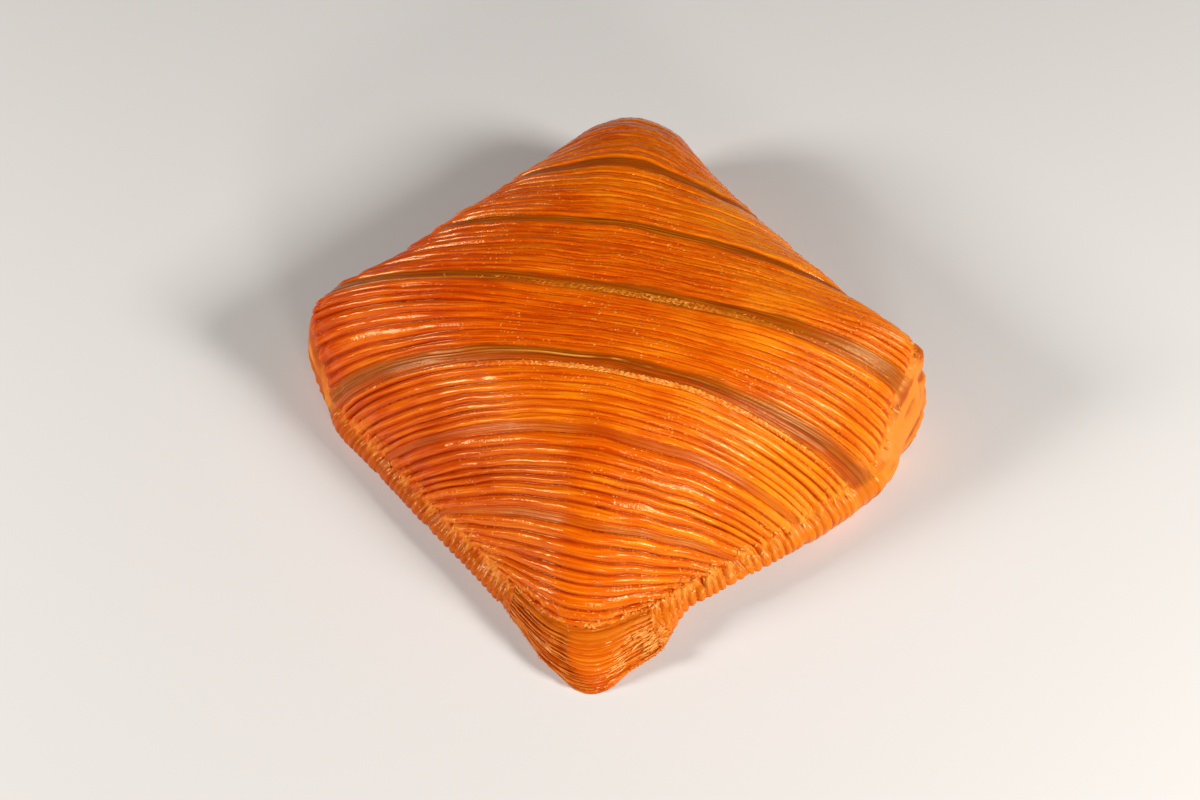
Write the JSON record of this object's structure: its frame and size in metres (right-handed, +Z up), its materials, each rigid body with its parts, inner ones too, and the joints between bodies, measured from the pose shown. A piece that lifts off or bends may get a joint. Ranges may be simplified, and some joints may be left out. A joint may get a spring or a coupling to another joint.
{
  "type": "laminated pastry square",
  "caption": "Puffed square pastry of laminated dough, with fine ridges and smooth bands crossing its dome from corner to corner.",
  "frame": {"origin": "under the middle of the pastry, on the surface it rests on", "axes": "+Z up; the pastry's sides run along X and Y, with the thin pointed corner towards +X and -Y"},
  "size_m": [0.1086, 0.1038, 0.0374],
  "materials": {
    "laminated_crust": "egg-washed baked dough, glossy golden orange ridges with darker brown valleys and bands"
  },
  "bodies": {
    "root": {"pastry_square": "laminated_crust"}
  },
  "joints": []
}
